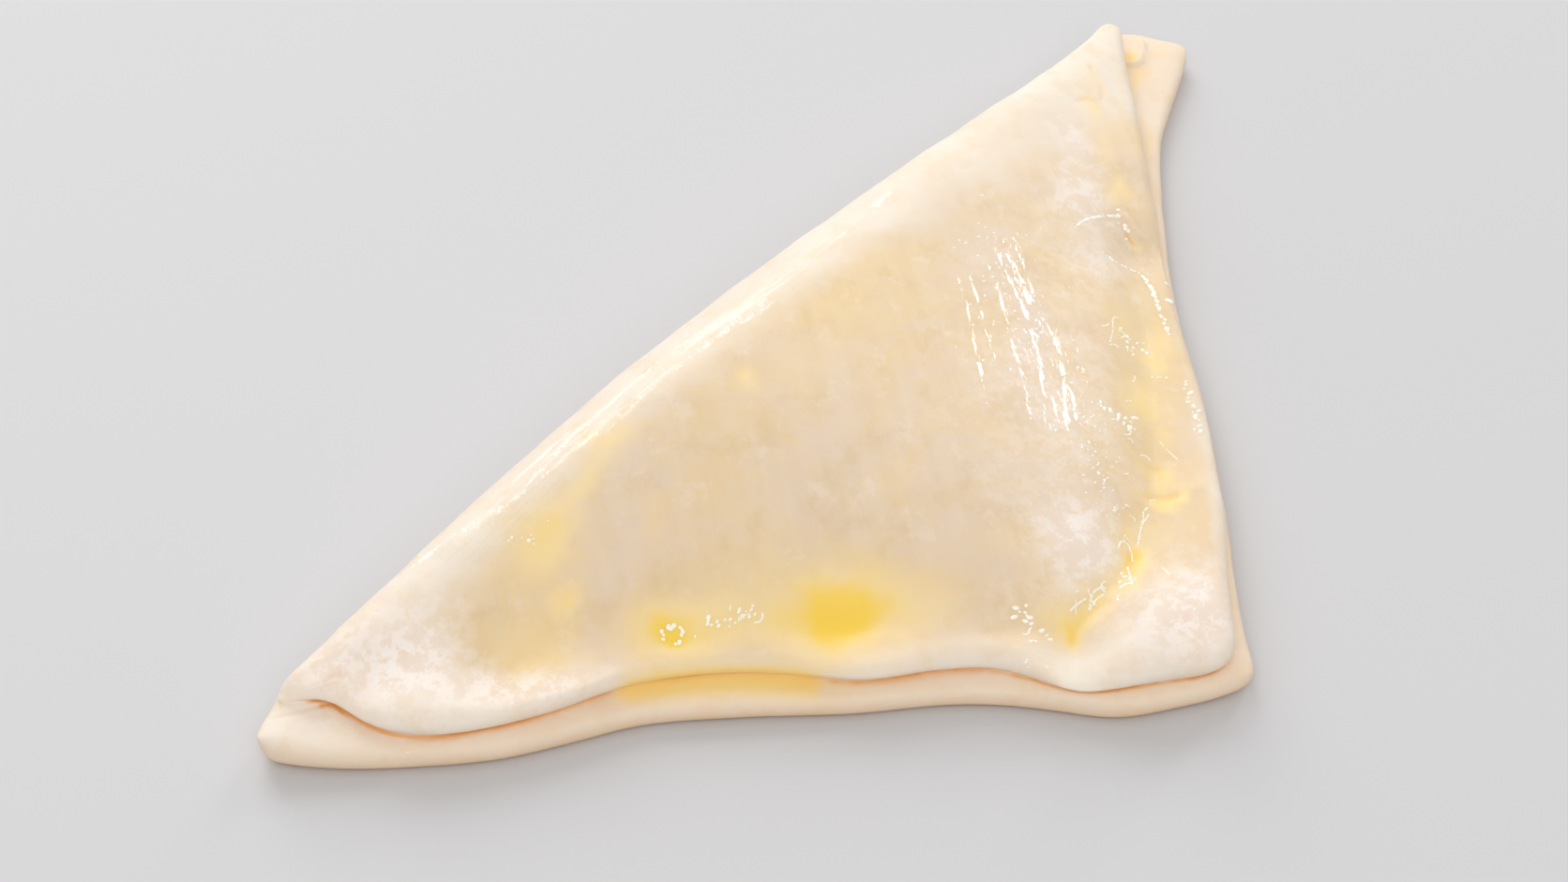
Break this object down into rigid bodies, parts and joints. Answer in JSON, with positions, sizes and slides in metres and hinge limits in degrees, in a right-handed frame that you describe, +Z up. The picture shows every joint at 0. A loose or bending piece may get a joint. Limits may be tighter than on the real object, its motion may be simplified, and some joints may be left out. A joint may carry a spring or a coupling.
{
  "type": "raw pastry turnover",
  "caption": "Raw puff pastry turnover: dough folded corner to corner over a filling into a flat triangle with a pressed rim, brushed with egg wash.",
  "frame": {"origin": "under the middle of the pastry's box, on the surface it rests on", "axes": "+X along the folded edge, -Y towards the square corner of the folded dough, +Z up"},
  "size_m": [0.186, 0.0918, 0.0212],
  "materials": {
    "raw_dough": "raw cream dough, dusted with flour on the rim and wet with yellow egg wash on top"
  },
  "bodies": {
    "root": {"pastry": "raw_dough"}
  },
  "joints": []
}
